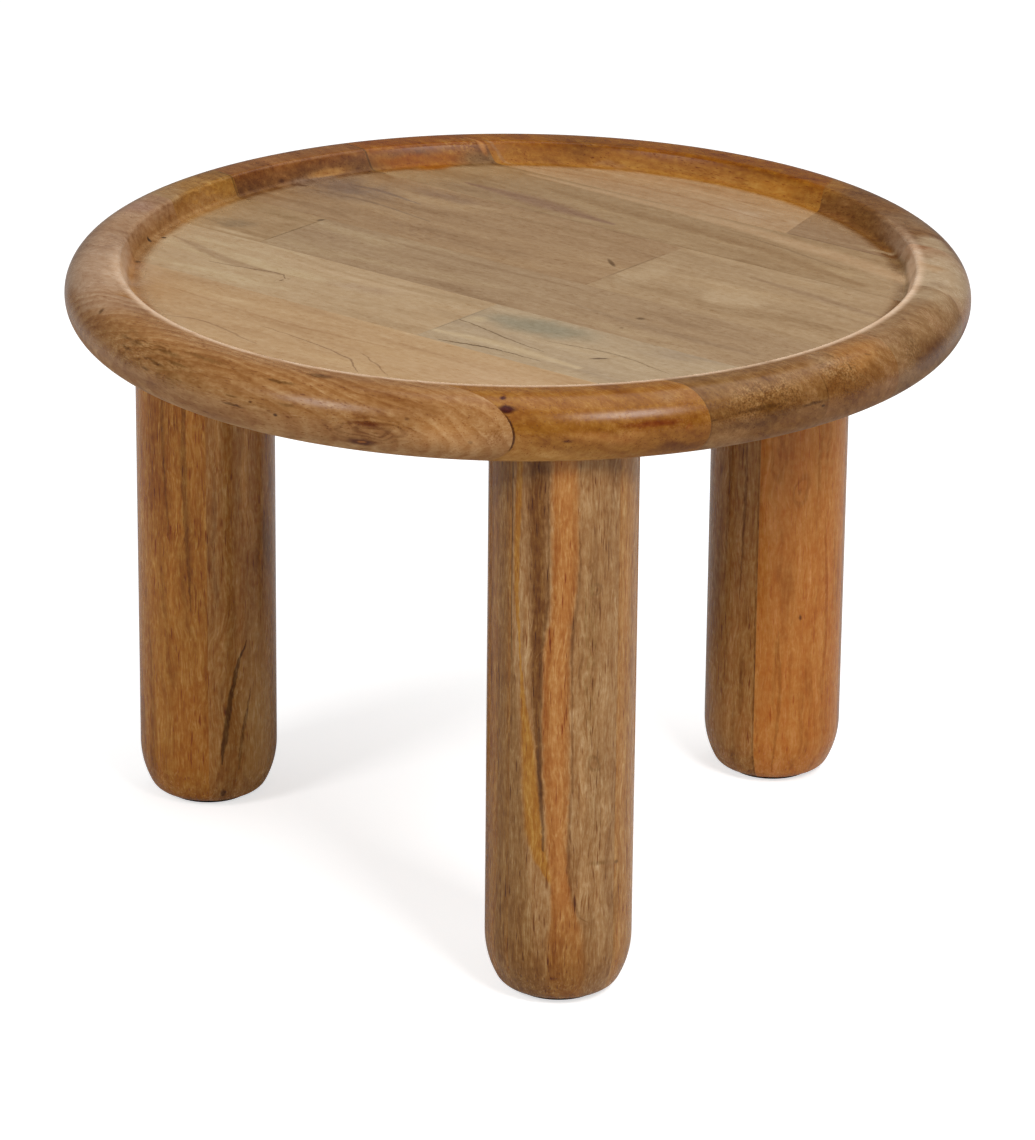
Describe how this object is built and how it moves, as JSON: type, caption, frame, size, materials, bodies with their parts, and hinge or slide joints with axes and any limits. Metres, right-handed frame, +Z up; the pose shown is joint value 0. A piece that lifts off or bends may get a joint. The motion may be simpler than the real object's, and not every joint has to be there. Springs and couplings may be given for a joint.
{
  "type": "low table",
  "caption": "Low round table with a shallow tray top and a thick half-round rim, on stout turned wooden legs with rounded feet.",
  "frame": {"origin": "the middle of the table on the floor, under the centre of the round top", "axes": "+Z up, the front leg stands on -Y and +X is to the right seen from the front"},
  "size_m": [0.6, 0.6, 0.4225],
  "materials": {
    "top_wood": "satin lacquered mango wood, pale tan staves with brown and orange figure at the rim",
    "leg_wood": "satin lacquered mango wood, warm brown with dark and orange streaks",
    "pad_felt": "dense dark felt",
    "bolt_steel": "bright zinc plate",
    "insert_steel": "yellow zinc plate"
  },
  "bodies": {
    "root": {"top_stave_1_left": "top_wood", "top_stave_1_right": "top_wood", "top_stave_2": "top_wood", "top_stave_3_left": "top_wood", "top_stave_3_right": "top_wood", "top_stave_4_left": "top_wood", "top_stave_4_right": "top_wood", "top_stave_5_left": "top_wood", "top_stave_5_right": "top_wood", "top_stave_6": "top_wood", "top_stave_7": "top_wood", "front_leg_stave_1": "leg_wood", "front_leg_stave_2": "leg_wood", "front_leg_stave_3": "leg_wood", "front_leg_stave_4": "leg_wood", "front_foot_pad": "pad_felt", "right_leg_stave_1": "leg_wood", "right_leg_stave_2": "leg_wood", "right_leg_stave_3": "leg_wood", "right_leg_stave_4": "leg_wood", "right_foot_pad": "pad_felt", "left_leg_stave_1": "leg_wood", "left_leg_stave_2": "leg_wood", "left_leg_stave_3": "leg_wood", "left_leg_stave_4": "leg_wood", "left_foot_pad": "pad_felt", "hanger_bolts": "bolt_steel", "threaded_inserts": "insert_steel"}
  },
  "joints": []
}
